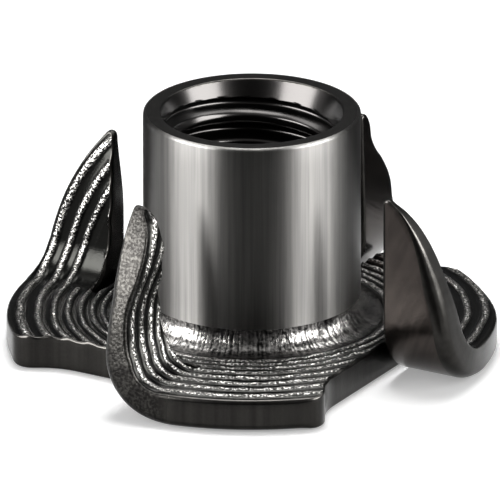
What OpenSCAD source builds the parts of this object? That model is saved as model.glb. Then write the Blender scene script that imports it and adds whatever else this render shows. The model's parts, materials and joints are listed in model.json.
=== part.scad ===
// Four-prong tee nut for an M8 screw, pressed from one disc of steel sheet.
// The barrel is drawn up from the middle of the disc. Four prongs are sheared
// along the rim and folded up beside it, and they bite into the timber.
// Units are millimetres. The origin is the centre of the flange's underside,
// and +Z runs up the barrel. Each prong is drawn in a frame of its own: u runs
// along its fold line, away from the axis, and v runs across it.

/* [Flange] */
// Diameter of the flange, which is the blank's own rim
flange_d = 22; // [20:0.5:30]
// Thickness of the sheet
sheet_t = 1.5; // [1:0.1:2]

/* [Barrel] */
// Overall height, from the underside to the top of the barrel
height = 11.1; // [9:0.1:20]
// Outside diameter of the barrel
barrel_d = 9.74; // [9:0.01:11]
// Radius of the fillet where the barrel leaves the flange
foot_r = 1; // [0.3:0.1:1.2]
// Radius on the outer edge of the barrel's top
top_r = 0.25; // [0.1:0.05:0.5]

/* [Bore] */
// Diameter of the bore at the crests of the thread
bore_d = 6.8; // [5:0.1:7.4]
// Diameter of the countersink at the top face
sink_d = 8.2; // [7.6:0.1:8.4]
// Depth of the countersink
sink_h = 1.5; // [0.8:0.1:2]
// Radius where the sheet turns up into the bore at the underside
entry_r = 0.9; // [0.3:0.1:1]

/* [Notches] */
// Number of prongs, each with its notch
prong_count = 4; // [3:1:4]
// Direction of the first fold line, anticlockwise from +X in degrees
first_fold = -30; // [-90:5:90]
// Distance from the axis to the sheared side of a notch
shear_u = 7.12; // [6.8:0.01:8]
// Radius at which that side flares out towards the rim
flare_r = 3.2; // [2:0.1:4]
// Length of the flare along the shear line, back from the rim
flare_len = 3.4; // [2.5:0.1:4]
// Radius on the lobe's corner, between the flare and the rim
corner_r = 1; // [0.4:0.1:1.2]
// Radius at the blind end of the cut, beside the fold
root_r = 0.2; // [0.1:0.05:0.3]
// How far out the lobe beside each prong reaches behind it, from the axis; the first and
// last prongs stand in open notches, and the two between them over nearly closed ones
shelf_u = [7.12, 9.4, 8.6, 7.12];
// Distance across the fold line at which those lobes start, clear of the fold's outside
shelf_v = 1.3; // [1.2:0.05:2]
// Radius on the corner of those lobes, at the rim
shelf_r = 2.5; // [1:0.1:3]

/* [Prongs] */
// Gap that the shear opens between a lobe and the prong beside it
kerf = 0.43; // [0.2:0.01:0.6]
// Inside radius of the fold
fold_r = 1.5; // [1:0.1:2]
// Distance from the axis back to the line where the fold starts
fold_back = 1.5; // [1:0.1:2]
// Thickness of a prong where its inner face turns in towards the tip
waist_t = 1.05; // [0.7:0.05:1.5]
// Distance of that turn below the tip
waist_drop = 2.6; // [1.5:0.1:4]
// Thickness of a prong at its tip
tip_t = 0.35; // [0.2:0.05:0.6]
// Radius on the point of a prong
tip_r = 0.25; // [0.15:0.05:0.4]

/* [Hidden] */
$fn = 96;

// How far a cutting shape runs past what it cuts
past = 1;

flange_r = flange_d / 2;
barrel_r = barrel_d / 2;
bore_r = bore_d / 2;
sink_r = sink_d / 2;

// The lobe's corner is a disc that touches the flare from outside and the rim from inside,
// so its centre lies on two circles, one about the axis and one about the flare's centre
flare_at = [shear_u + flare_r, sqrt(flange_r ^ 2 - shear_u ^ 2) - flare_len];
corner_reach = flange_r - corner_r;
corner_turn = acos(
    (norm(flare_at) ^ 2 + corner_reach ^ 2 - (flare_r + corner_r) ^ 2)
    / (2 * norm(flare_at) * corner_reach)
);
corner_dir = atan2(flare_at.y, flare_at.x) + corner_turn;
corner_at = corner_reach * [cos(corner_dir), sin(corner_dir)];

// The fold is a quarter turn. The prong's rim side is the blank's own rim, rolled up with
// the sheet, so its arc is centred where the blank's centre comes to lie
fold_out_r = fold_r + sheet_t;
fold_len = (fold_r + sheet_t / 2) * PI / 2;
rim_z = fold_out_r - (fold_len - fold_back);
outer_v = fold_out_r - fold_back;
prong_u = shear_u + kerf;

// The point of a prong is a small disc between its sheared side and its rim side
point_u = prong_u + tip_r;
point_z = rim_z + sqrt((flange_r - tip_r) ^ 2 - point_u ^ 2);
tip_z = point_z + tip_r;
point_dir = atan2(point_z - rim_z, point_u);

// Half of the barrel's section, with its filleted foot and its rounded top edge
module barrel_section() {
    difference() {
        union() {
            square([barrel_r, height - top_r]);
            square([barrel_r - top_r, height]);
            square([barrel_r + foot_r, sheet_t + foot_r]);
            translate([barrel_r - top_r, height - top_r])
                circle(top_r);
        }
        translate([barrel_r + foot_r, sheet_t + foot_r])
            circle(foot_r);
    }
}

// What is cut from the middle: the bore, its countersink and its rounded mouth
module bore() {
    translate([0, 0, -past])
        cylinder(h = height + 2 * past, r = bore_r);
    translate([0, 0, height - sink_h])
        cylinder(h = sink_h, r1 = bore_r, r2 = sink_r);
    translate([0, 0, height])
        cylinder(h = past, r = sink_r);
    rotate_extrude()
        difference() {
            square([bore_r + entry_r, entry_r]);
            translate([bore_r + entry_r, entry_r])
                circle(entry_r);
        }
}

// The outline of one notch, in the prong's frame
module notch_outline() {
    far = flange_r + past;
    difference() {
        union() {
            translate([shear_u, root_r - fold_back])
                square([far - shear_u, far]);
            translate([shear_u + root_r, -fold_back])
                square([far - shear_u, far]);
            translate([shear_u + root_r, root_r - fold_back])
                circle(root_r);
        }
        lobe_corner();
    }
}

// The part of a lobe that stands past the shear line: up the flare, round the corner
// disc, and on to the rim
module lobe_corner() {
    beyond = corner_at * (flange_r + 2 * past) / corner_reach;
    difference() {
        polygon([[shear_u - past, flare_at.y], flare_at, corner_at, beyond, [shear_u - past, beyond.y]]);
        translate(flare_at)
            circle(flare_r);
        translate(corner_at)
            rotate(corner_dir - 90)
                square([flare_r, 2 * past]);
    }
    translate(corner_at)
        circle(corner_r);
}

// The part of a lobe that reaches out behind its prong, as far as out_u, in the prong's
// frame: a straight side, a large corner disc that touches the rim, and the rim
module lobe_shelf(out_u) {
    reach = flange_r - shelf_r;
    at = [out_u - shelf_r, sqrt(reach ^ 2 - (out_u - shelf_r) ^ 2)];
    beyond = at * (flange_r + 2 * past) / reach;
    translate([shear_u - past, shelf_v])
        square([out_u - shear_u + past, at.y - shelf_v]);
    translate(at)
        circle(shelf_r);
    intersection() {
        circle(flange_r);
        polygon([[shear_u - past, at.y - past], [at.x, at.y - past], at, beyond, [shear_u - past, beyond.y]]);
    }
}

// The flange: the blank's disc with its notches
module flange() {
    linear_extrude(sheet_t) {
        difference() {
            circle(flange_r);
            for (i = [0 : prong_count - 1])
                rotate(first_fold + i * 360 / prong_count)
                    mirror([0, 1])
                        notch_outline();
        }
        for (i = [0 : prong_count - 1])
            if (shelf_u[i] > shear_u)
                rotate(first_fold + i * 360 / prong_count)
                    mirror([0, 1])
                        lobe_shelf(shelf_u[i]);
    }
}

// A prong from the side, across its fold line: the quarter turn of the fold, then the
// blade, whose inner face leans in at the waist and again towards the tip
module prong_side() {
    translate([-fold_back, fold_out_r])
        difference() {
            intersection() {
                circle(fold_out_r);
                translate([0, -fold_out_r])
                    square(fold_out_r);
            }
            circle(fold_r);
        }
    polygon([
        [outer_v, fold_out_r],
        [outer_v, tip_z],
        [outer_v - tip_t, tip_z],
        [outer_v - waist_t, tip_z - waist_drop],
        [outer_v - sheet_t, fold_out_r],
    ]);
}

// A prong seen square to its blade: sheared straight on one side, and rounded on the
// other by the blank's rim
module prong_face() {
    far = flange_r + past;
    ray_end = [0, rim_z] + far * [cos(point_dir), sin(point_dir)];
    intersection() {
        translate([0, rim_z])
            circle(flange_r);
        polygon([
            [prong_u, 0],
            [far, 0],
            [far, ray_end.y],
            ray_end,
            [point_u, point_z],
            [prong_u, point_z],
        ]);
    }
    translate([point_u, point_z])
        circle(tip_r);
}

// One prong in its own frame, kept inside the blank's own circle
module prong() {
    intersection() {
        rotate([90, 0, 90])
            linear_extrude(flange_r)
                prong_side();
        translate([0, flange_r, 0])
            rotate([90, 0, 0])
                linear_extrude(2 * flange_r)
                    prong_face();
        cylinder(h = tip_z, r = flange_r);
    }
}

// The whole nut, which is one piece of steel
module tee_nut() {
    color("#5c5b5d")
        difference() {
            union() {
                flange();
                for (i = [0 : prong_count - 1])
                    rotate(first_fold + i * 360 / prong_count)
                        mirror([0, 1, 0])
                            prong();
                rotate_extrude()
                    barrel_section();
            }
            bore();
        }
}

tee_nut();
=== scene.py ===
"""A pronged tee nut in black-nickel plated steel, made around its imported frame.

The nut is pressed from one disc of sheet, so it is modelled the way it is made. The flat
blank is laid out with its lathe rings and its four sheared cuts, the prongs are rolled up
from it, and the drawn barrel and its tapped bore are joined on to make one closed skin.
"""

import json
import logging
import math
from dataclasses import dataclass, field
from enum import Enum

import bmesh
import bpy
import numpy as np
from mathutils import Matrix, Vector
from mathutils.geometry import delaunay_2d_cdt

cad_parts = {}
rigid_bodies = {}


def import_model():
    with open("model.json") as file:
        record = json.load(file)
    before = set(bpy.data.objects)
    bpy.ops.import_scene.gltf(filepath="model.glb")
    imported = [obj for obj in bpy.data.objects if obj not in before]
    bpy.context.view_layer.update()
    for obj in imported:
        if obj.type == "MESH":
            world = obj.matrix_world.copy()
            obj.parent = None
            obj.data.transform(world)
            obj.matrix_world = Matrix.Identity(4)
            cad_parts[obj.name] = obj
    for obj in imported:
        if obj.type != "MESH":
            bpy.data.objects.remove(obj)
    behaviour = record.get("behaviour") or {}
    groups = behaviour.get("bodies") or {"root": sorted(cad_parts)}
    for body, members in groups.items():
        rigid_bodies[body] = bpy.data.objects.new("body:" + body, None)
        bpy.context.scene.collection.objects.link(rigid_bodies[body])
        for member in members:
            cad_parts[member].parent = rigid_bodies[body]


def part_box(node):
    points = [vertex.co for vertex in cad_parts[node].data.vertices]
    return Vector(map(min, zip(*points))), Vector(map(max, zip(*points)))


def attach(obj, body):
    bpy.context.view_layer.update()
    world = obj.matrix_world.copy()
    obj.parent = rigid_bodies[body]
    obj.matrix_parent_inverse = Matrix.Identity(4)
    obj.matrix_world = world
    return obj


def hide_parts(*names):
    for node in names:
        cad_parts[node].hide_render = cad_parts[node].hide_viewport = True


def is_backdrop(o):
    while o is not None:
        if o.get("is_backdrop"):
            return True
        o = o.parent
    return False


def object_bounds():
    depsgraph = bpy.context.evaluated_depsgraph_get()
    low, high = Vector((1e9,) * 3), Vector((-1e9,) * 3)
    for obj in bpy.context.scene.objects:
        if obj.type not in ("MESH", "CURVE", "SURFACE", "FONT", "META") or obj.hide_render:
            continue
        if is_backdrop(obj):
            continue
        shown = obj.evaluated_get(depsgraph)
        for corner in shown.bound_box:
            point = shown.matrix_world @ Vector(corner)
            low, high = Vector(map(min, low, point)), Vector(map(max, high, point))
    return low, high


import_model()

Array = np.ndarray
Amount = float | np.ndarray
Material = bpy.types.Material
Mesh = bpy.types.Mesh
Tree = bpy.types.NodeTree
Socket = bpy.types.NodeSocket
Value = float | bpy.types.NodeSocket
Span = tuple[float, float]

log = logging.getLogger("tee_nut")

MM = 0.001
UP = (0.0, 0.0, 1.0)
SMOOTH_GRAIN = 0.1
NODE = "tee_nut"

# The triangulation keeps what its wires enclose (output type 1), takes points this close as one, and
# gives faces of at least this area, in millimetres and square millimetres
ENCLOSED = 1
SNAP = 1e-7
SLIVER = 1e-6


class Zone(Enum):
    """The parts of the skin that were worked in different ways."""

    RINGS = 0
    SHEARED = 1
    PRESSED = 2
    BARREL = 3
    FOOT = 4
    THREAD = 5


def smoothstep(x: Array) -> Array:
    """Eases x from 0 to 1 with flat ends, and holds it there outside."""
    x = np.clip(x, 0.0, 1.0)
    return x * x * (3.0 - 2.0 * x)


def curve(x: Array, knots: tuple[tuple[float, float], ...]) -> Array:
    """A smooth line through a few points, level beyond the first and the last."""
    at, value = np.array(knots, float).T
    slope = np.gradient(value, at)
    slope[0] = slope[-1] = 0.0
    i = np.clip(np.searchsorted(at, x) - 1, 0, len(at) - 2)
    gap = at[i + 1] - at[i]
    t = np.clip((x - at[i]) / gap, 0.0, 1.0)
    start = (1 + 2 * t) * (1 - t) ** 2 * value[i] + t * (1 - t) ** 2 * gap * slope[i]
    end = t * t * (3 - 2 * t) * value[i + 1] + t * t * (t - 1) * gap * slope[i + 1]
    return start + end


def linear_colour(code: str) -> tuple[float, float, float, float]:
    """Turns an sRGB hex colour into the linear values that a shader takes.

    Args:
        code: The colour, such as "#5c5b5d".

    Returns:
        Red, green, blue and an alpha of 1.
    """
    parts = [int(code[i : i + 2], 16) / 255.0 for i in (1, 3, 5)]
    linear = [p / 12.92 if p <= 0.04045 else ((p + 0.055) / 1.055) ** 2.4 for p in parts]
    return (linear[0], linear[1], linear[2], 1.0)


def add_node(
    tree: Tree, kind: str, settings: dict | None = None, inputs: dict | None = None
) -> bpy.types.Node:
    """Adds a node, with its settings and what goes into it.

    Args:
        tree: The tree that the node goes into.
        kind: The node's type, such as "ShaderNodeMath".
        settings: The node's own properties by name.
        inputs: By input name or number, either a socket to link from or a plain value.

    Returns:
        The node.
    """
    node = tree.nodes.new(kind)
    for name, value in (settings or {}).items():
        setattr(node, name, value)
    for key, value in (inputs or {}).items():
        if isinstance(value, Socket):
            tree.links.new(value, node.inputs[key])
        else:
            node.inputs[key].default_value = value
    return node


def maths(tree: Tree, start: Value, *steps: tuple[str, Value | None]) -> Socket:
    """Runs a value through a row of Math nodes.

    Args:
        tree: The tree that the nodes go into.
        start: The socket or number that the row starts from.
        *steps: Pairs of an operation and its second operand; None where it takes one.

    Returns:
        The last node's output socket.
    """
    value = start
    for operation, operand in steps:
        inputs = {0: value} if operand is None else {0: value, 1: operand}
        value = add_node(tree, "ShaderNodeMath", {"operation": operation}, inputs).outputs[0]
    return value


def vector_maths(tree: Tree, operation: str, *operands: Socket | tuple) -> Socket:
    """Runs vectors through one Vector Math node, and returns the vector that comes out."""
    inputs = dict(enumerate(operands))
    return add_node(tree, "ShaderNodeVectorMath", {"operation": operation}, inputs).outputs[0]


def ranged(
    tree: Tree, value: Value, source: tuple = (0.0, 1.0), target: tuple = (0.0, 1.0), kind: str = "LINEAR"
) -> Socket:
    """Maps a value from one range to another, and holds it at both ends.

    Args:
        tree: The tree that the node goes into.
        value: The socket to map.
        source: The range that it is taken from.
        target: The range that it is turned into.
        kind: "LINEAR", or "SMOOTHSTEP" for flat ends.

    Returns:
        The mapped value's socket.
    """
    inputs = {0: value, 1: source[0], 2: source[1], 3: target[0], 4: target[1]}
    return add_node(tree, "ShaderNodeMapRange", {"interpolation_type": kind}, inputs).outputs[0]


def noise(
    tree: Tree,
    vector: Socket,
    scale: float,
    detail: float = 2.0,
    seed: Socket | None = None,
    roughness: float = 0.5,
) -> Socket:
    """Adds noise, and returns its value.

    Args:
        tree: The tree that the node goes into.
        vector: The place that it is read at.
        scale: One over the size of its grains, in the vector's own unit.
        detail: How many finer layers it has.
        seed: A socket that picks one of many such noises.
        roughness: How strong the finer layers are.

    Returns:
        The socket of its value.
    """
    inputs = {"Vector": vector, "Scale": scale, "Detail": detail, "Roughness": roughness}
    if seed is None:
        return add_node(tree, "ShaderNodeTexNoise", None, inputs).outputs[0]
    return add_node(tree, "ShaderNodeTexNoise", {"noise_dimensions": "4D"}, {**inputs, "W": seed}).outputs[0]


def new_material(name: str) -> tuple[Material, Tree]:
    """An empty material and its tree."""
    material = bpy.data.materials.new(name)
    material.use_nodes = True
    material.node_tree.nodes.clear()
    return material, material.node_tree


def add_shader(tree: Tree, inputs: dict) -> None:
    """Gives a material its Principled shader, with these inputs."""
    shader = add_node(tree, "ShaderNodeBsdfPrincipled", None, inputs)
    add_node(tree, "ShaderNodeOutputMaterial", None, {"Surface": shader.outputs[0]})


def add_object(name: str, data: bpy.types.ID) -> bpy.types.Object:
    """Puts a mesh, lamp or camera into the scene."""
    made = bpy.data.objects.new(name, data)
    bpy.context.scene.collection.objects.link(made)
    return made


SOCKETS = {int: "NodeSocketInt", float: "NodeSocketFloat", Material: "NodeSocketMaterial"}


def start_tree(
    name: str, values: dict, takes_mesh: bool = False
) -> tuple[Tree, bpy.types.bpy_prop_collection]:
    """Starts a geometry tree that has one input for each value.

    Args:
        name: The tree's name.
        values: The inputs' values by name, whose types give the sockets' types.
        takes_mesh: Whether the tree works on a mesh that comes in.

    Returns:
        The tree and the sockets of its inputs.
    """
    tree = bpy.data.node_groups.new(name, "GeometryNodeTree")
    if takes_mesh:
        tree.interface.new_socket("Geometry", in_out="INPUT", socket_type="NodeSocketGeometry")
    for key, value in values.items():
        tree.interface.new_socket(key, in_out="INPUT", socket_type=SOCKETS[type(value)])
    tree.interface.new_socket("Geometry", in_out="OUTPUT", socket_type="NodeSocketGeometry")
    return tree, add_node(tree, "NodeGroupInput").outputs


def run_tree(tree: Tree, mesh: Mesh, values: dict) -> Mesh:
    """Runs a geometry tree over a mesh.

    Args:
        tree: The tree.
        mesh: What goes in.
        values: The tree's inputs by name.

    Returns:
        What comes out, as a plain mesh.
    """
    carrier = add_object(tree.name, mesh)
    modifier = carrier.modifiers.new(tree.name, "NODES")
    modifier.node_group = tree
    for item in tree.interface.items_tree:
        if item.in_out == "INPUT" and item.name in values:
            modifier[item.identifier] = values[item.name]
    carrier.update_tag()
    depsgraph = bpy.context.evaluated_depsgraph_get()
    made = bpy.data.meshes.new_from_object(
        carrier.evaluated_get(depsgraph), preserve_all_data_layers=True, depsgraph=depsgraph
    )
    carrier.modifiers.clear()
    bpy.data.objects.remove(carrier)
    return made


# ---------------------------------------------------------------------------------------
# The flat blank and its prongs
# ---------------------------------------------------------------------------------------


@dataclass(frozen=True)
class Edges:
    """Radii that tumbling and shearing left along the blank's outline, in millimetres.

    The shares limit how much of the sheet's thickness a round takes, inwards and upwards.
    """

    rim_top: float = 0.20
    rim_under: float = 0.42
    cut_top: float = 0.10
    cut_under: float = 0.16
    prong_rim_top: float = 0.14
    tip: float = 0.12
    under_flattened: float = 0.85
    top_in_share: float = 0.45
    top_rise_share: float = 0.3
    under_in_share: float = 0.75
    under_rise_share: float = 0.48


@dataclass(frozen=True)
class Prong:
    """One prong as the press left it, in its own frame of u along its fold line and v across it.

    The three curves are drawn through pairs of a distance below the prong's tip and a value: how far
    the rim side and the cut side lie inside the blank's own lines, and how thick the blade is.
    """

    name: str
    direction: float
    kerf: float = 0.43
    lean: float = 0.0
    rim_in: tuple[tuple[float, float], ...] = ((0.0, 0.0), (5.0, 0.0))
    cut_in: tuple[tuple[float, float], ...] = ((0.0, 0.0), (5.0, 0.0))
    blade: tuple[tuple[float, float], ...] = ((0.0, 0.34), (1.2, 0.72), (2.6, 1.05), (4.4, 1.3), (6.2, 1.5))
    rise: float = 1.0
    shelf_u: float = 0.0
    rings_from: float = 0.0
    rim_grain: float = 0.25
    rim_under: float = 0.62

    def swap_frame(self, spots: Array) -> Array:
        """Turns rows of this prong's u and v into the blank's x and y, or back: it is a mirror image."""
        c, s = math.cos(math.radians(self.direction)), math.sin(math.radians(self.direction))
        u, v = spots.T
        return np.stack([u * c + v * s, u * s - v * c], 1)


@dataclass(frozen=True)
class Sheet:
    """The sheet's sizes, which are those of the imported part, in millimetres."""

    rim_r: float
    height: float
    thickness: float = 1.5
    foot_at: float = 5.87
    mouth_at: float = 4.3
    shear_u: float = 7.12
    flare_r: float = 3.2
    flare_v: float = 4.985
    corner_r: float = 1.0
    fold_back: float = 1.5
    fold_r: float = 1.5
    tip_r: float = 0.25
    shelf_v: float = 1.3
    shelf_r: float = 2.5

    def tip_at(self, prong: Prong) -> Span:
        """Where the centre of a prong's rounded point lies on the blank."""
        reach = self.rim_r - prong.rim_in[0][1] - self.tip_r
        u = self.shear_u + prong.kerf + prong.cut_in[0][1] + self.tip_r
        return u, math.sqrt(reach**2 - u**2)

    def below_tip(self, prong: Prong, v: Array) -> Array:
        """How far points of the blank come to lie below a prong's tip."""
        return prong.rise * (self.tip_at(prong)[1] + self.tip_r - v)

    def fold(self, prong: Prong, spots: Array, h: Amount) -> tuple[Array, Array]:
        """Rolls a prong up from the blank.

        Args:
            prong: The prong that the points are on.
            spots: Rows of u and v, their places on the flat blank in the prong's frame.
            h: Height in the sheet, 0 on its underside.

        Returns:
            Rows of x, y and z, and the sheet's upward direction at each of them.
        """
        u, v = spots.T
        turn = math.pi / 2 + math.radians(prong.lean)
        middle_r = self.fold_r + self.thickness / 2
        along = v + self.fold_back
        angle = np.clip(along / middle_r, 0.0, turn)
        past = prong.rise * np.maximum(along - middle_r * turn, 0.0)
        flat = np.minimum(along, 0.0)
        radius = self.fold_r + self.thickness - h
        across = flat - self.fold_back + radius * np.sin(angle) + past * np.cos(angle)
        z = self.fold_r + self.thickness - radius * np.cos(angle) + past * np.sin(angle)
        up = prong.swap_frame(np.stack([np.zeros_like(u), -np.sin(angle)], 1))
        return (
            np.column_stack([prong.swap_frame(np.stack([u, across], 1)), z]),
            np.column_stack([up, np.cos(angle)]),
        )


@dataclass
class Outline:
    """The blank's closed outline: places and outward directions in the frame of each sector's prong."""

    sector: Array
    folded: Array
    u: Array
    v: Array
    out_u: Array
    out_v: Array
    top: Array
    under: Array
    grain: Array

    def moved_in(self, inset: Array) -> Array:
        """Rows of u and v this far inside the outline."""
        return np.stack([self.u - self.out_u * inset, self.v - self.out_v * inset], 1)


@dataclass
class Skin:
    """Points and faces of a surface that is being put together, in millimetres.

    Each point also has the sheet's upward direction, its place on the flat blank, how much of the
    lathe's ridges it takes (relief) and how granular its surface is (grain).
    """

    points: list = field(default_factory=list)
    up: list = field(default_factory=list)
    blank: list = field(default_factory=list)
    relief: list = field(default_factory=list)
    grain: list = field(default_factory=list)
    faces: list = field(default_factory=list)
    zones: list = field(default_factory=list)
    count: int = 0

    def add(self, points: Array, up: Array, blank: Array, relief: Amount, grain: Amount) -> Array:
        """Adds points with what the finishes need to know of them, and returns their numbers."""
        size = len(points)
        self.points.append(points)
        self.up.append(up)
        self.blank.append(np.column_stack([blank, np.zeros(size)]))
        self.relief.append(np.broadcast_to(relief, size))
        self.grain.append(np.broadcast_to(grain, size))
        self.count += size
        return np.arange(self.count - size, self.count)

    def band(self, upper: Array, lower: Array, zone: Zone) -> None:
        """Adds a closed band of faces between two rows of points."""
        quads = np.stack([upper, lower, np.roll(lower, -1), np.roll(upper, -1)], 1)
        self.cover(quads.tolist(), zone)

    def cover(self, corners: list, zone: Zone) -> None:
        """Adds faces that are all of one zone."""
        self.faces.extend(corners)
        self.zones.extend([zone.value] * len(corners))

    def mesh(self) -> Mesh:
        """Turns the skin into a mesh in metres, with what its finishes read."""
        made = bpy.data.meshes.new("skin")
        made.from_pydata((np.concatenate(self.points) * MM).tolist(), [], self.faces)
        for name, rows in {"blank": self.blank, "sheet_up": self.up}.items():
            layer = made.attributes.new(name, "FLOAT_VECTOR", "POINT")
            layer.data.foreach_set("vector", np.concatenate(rows).astype(np.float32).ravel())
        for name, rows in {"relief": self.relief, "grain": self.grain}.items():
            layer = made.attributes.new(name, "FLOAT", "POINT")
            layer.data.foreach_set("value", np.concatenate(rows).astype(np.float32))
        zone = made.attributes.new("zone", "INT", "FACE")
        zone.data.foreach_set("value", np.array(self.zones, np.int32))
        return made


@dataclass(frozen=True)
class Patch:
    """The part of a face that is one prong or the flange: its outline, and the round hole in it, if any."""

    number: int
    folded: bool
    loop: Array
    ids: Array
    hole: Array = field(default_factory=lambda: np.zeros((0, 2)))
    hole_ids: Array = field(default_factory=lambda: np.zeros(0, int))


@dataclass(frozen=True)
class Blank:
    """The flange and its prongs, as one sheet with rounded sheared edges."""

    sheet: Sheet
    prongs: tuple[Prong, ...]
    edges: Edges = Edges()
    columns: int = 160
    rim_step: float = 0.15
    arc_step: float = 18.0
    top_rings: float = 0.088
    top_along: float = 0.15
    under_step: float = 0.24
    first_ring: float = 0.8
    edge_clearance: float = 0.5
    pull: float = 0.33
    pull_starts: Span = (16.0, 30.0)
    pull_ends: Span = (35.0, 67.0)
    shelf_inner: float = 0.15
    shelf_outer: float = 0.3
    rim_blend: float = 14.0
    slim_below: float = 3.4
    slimmest: float = 0.12
    rings_start: float = 0.3

    def arc(self, at: Span, radius: float, start: float, end: float, outward: float) -> Array:
        """Points along an arc, without its last one.

        Args:
            at: The arc's centre.
            radius: Its radius.
            start: The direction of its first point from the centre, in degrees.
            end: The direction of its end.
            outward: 1 where the metal is inside the arc, and -1 where it is outside.

        Returns:
            Rows of u, v and the outward direction.
        """
        sweep = math.radians(end - start)
        turn_steps = round(abs(sweep) / math.radians(self.arc_step))
        count = max(3, round(abs(sweep) * radius / self.rim_step), turn_steps)
        angle = math.radians(start) + sweep * np.arange(count) / count
        c, s = np.cos(angle), np.sin(angle)
        return np.stack([at[0] + radius * c, at[1] + radius * s, outward * c, outward * s], 1)

    def line(self, start: Span, end: Span, out: Span) -> Array:
        """Points along a straight side, without its last one."""
        length = math.dist(start, end)
        count = max(2, round(length / self.rim_step))
        t = np.arange(count) / count
        ones = np.ones(count)
        u = start[0] + (end[0] - start[0]) * t
        v = start[1] + (end[1] - start[1]) * t
        return np.stack([u, v, out[0] * ones, out[1] * ones], 1)

    def drawn_in(self, points: Array) -> Array:
        """Moves the corner of a lobe a third of a millimetre in, which the press pulled there."""
        direction = np.degrees(np.arctan2(points[:, 1], points[:, 0]))
        spans = (self.pull_starts, self.pull_ends)
        rise, fall = (smoothstep((direction - start) / (end - start)) for start, end in spans)
        points[:, :2] -= self.pull * (rise * (1.0 - fall))[:, None] * points[:, 2:]
        return points

    def lobe(self, prong: Prong) -> list[Array]:
        """The lobe beside a prong.

        Args:
            prong: The prong, in whose frame the lobe is laid out.

        Returns:
            Runs of points from the cut's blind end to the next prong.
        """
        sheet, half = self.sheet, prong.kerf / 2
        rim, cut_v = sheet.rim_r, half - sheet.fold_back
        last_dir = 90 - math.degrees(math.asin(sheet.fold_back / rim))
        if prong.shelf_u:
            inner, outer, side_v = self.shelf_inner, self.shelf_outer, sheet.shelf_v
            at_u = prong.shelf_u - sheet.shelf_r
            at = (at_u, math.sqrt((rim - sheet.shelf_r) ** 2 - at_u**2))
            corner_dir = math.degrees(math.atan2(at[1], at[0]))
            low, high = side_v - inner, side_v + outer
            return [
                self.line((sheet.shear_u, cut_v), (sheet.shear_u, low), (1, 0)),
                self.arc((sheet.shear_u + inner, low), inner, 180, 90, -1),
                self.line((sheet.shear_u + inner, side_v), (prong.shelf_u - outer, side_v), (0, -1)),
                self.arc((prong.shelf_u - outer, high), outer, -90, 0, 1),
                self.drawn_in(self.line((prong.shelf_u, high), (prong.shelf_u, at[1]), (1, 0))),
                self.drawn_in(self.arc(at, sheet.shelf_r, 0, corner_dir, 1)),
                self.drawn_in(self.arc((0, 0), rim, corner_dir, last_dir, 1)),
            ]
        flare_at = (sheet.shear_u + sheet.flare_r, sheet.flare_v)
        reach, far = rim - sheet.corner_r, math.hypot(*flare_at)
        touch = sheet.flare_r + sheet.corner_r
        turn = math.acos((far**2 + reach**2 - touch**2) / (2 * far * reach))
        corner_dir = math.degrees(math.atan2(flare_at[1], flare_at[0]) + turn)
        corner_at = (reach * math.cos(math.radians(corner_dir)), reach * math.sin(math.radians(corner_dir)))
        meet = math.degrees(math.atan2(corner_at[1] - flare_at[1], corner_at[0] - flare_at[0]))
        return [
            self.line((sheet.shear_u, cut_v), (sheet.shear_u, sheet.flare_v), (1, 0)),
            self.arc(flare_at, sheet.flare_r, 180, meet, -1),
            self.arc(corner_at, sheet.corner_r, meet - 180, corner_dir, 1),
            self.arc((0, 0), rim, corner_dir, last_dir, 1),
        ]

    def sector(self, number: int) -> list[tuple]:
        """One prong's outline and that of the lobe beside it.

        Args:
            number: Which prong.

        Returns:
            Runs, each as its points, whether the prong owns them, their radius above and below, and their
            grain.
        """
        sheet, prong, edges = self.sheet, self.prongs[number], self.edges
        rim, half = sheet.rim_r, prong.kerf / 2
        cut_u, cut_v = sheet.shear_u + prong.kerf, half - sheet.fold_back
        tip_at = sheet.tip_at(prong)
        tip_dir = math.degrees(math.atan2(tip_at[1], tip_at[0]))
        fold_dir = -math.degrees(math.asin(sheet.fold_back / rim))

        side = self.arc((0, 0), rim, fold_dir, tip_dir, 1)
        share = smoothstep((np.degrees(np.arctan2(side[:, 1], side[:, 0])) - fold_dir) / self.rim_blend)
        drawn_in = share * curve(sheet.below_tip(prong, side[:, 1]), prong.rim_in)
        side[:, :2] -= side[:, 2:] * drawn_in[:, None]
        cut = self.line((cut_u, tip_at[1]), (cut_u, cut_v), (-1, 0))
        cut[:, 0] += curve(sheet.below_tip(prong, cut[:, 1]), prong.cut_in)
        slim = np.clip((tip_at[1] - side[:, 1]) / self.slim_below, self.slimmest, 1.0)
        sheared = (edges.cut_top, edges.cut_under, SMOOTH_GRAIN)
        blind_end = (sheet.shear_u + half, cut_v)
        runs = [
            (side, True, edges.prong_rim_top * slim**0.5, prong.rim_under * slim, prong.rim_grain),
            (self.arc(tip_at, sheet.tip_r, tip_dir, 180, 1), True, edges.tip, edges.tip, prong.rim_grain),
            (cut, True, *sheared),
            (self.arc(blind_end, half, 0, -90, -1), True, *sheared),
            (self.arc(blind_end, half, -90, -180, -1), False, *sheared),
        ]
        lobe = self.lobe(prong)
        runs += [(points, False, *sheared) for points in lobe[:-1]]
        runs.append((lobe[-1], False, edges.rim_top, edges.rim_under, SMOOTH_GRAIN))
        return runs

    def outline(self) -> Outline:
        """The whole outline, with its edge radii eased into each other along it."""
        table = []
        for number in range(len(self.prongs)):
            for points, folded, *values in self.sector(number):
                whole = [np.broadcast_to(value, len(points)) for value in (number, folded, *values)]
                table.append(np.column_stack([*whole[:2], points, *whole[2:]]))
        sector, folded, u, v, out_u, out_v, *values = np.concatenate(table).T
        return Outline(sector.astype(int), folded.astype(bool), u, v, out_u, out_v, *map(self.eased, values))

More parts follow.
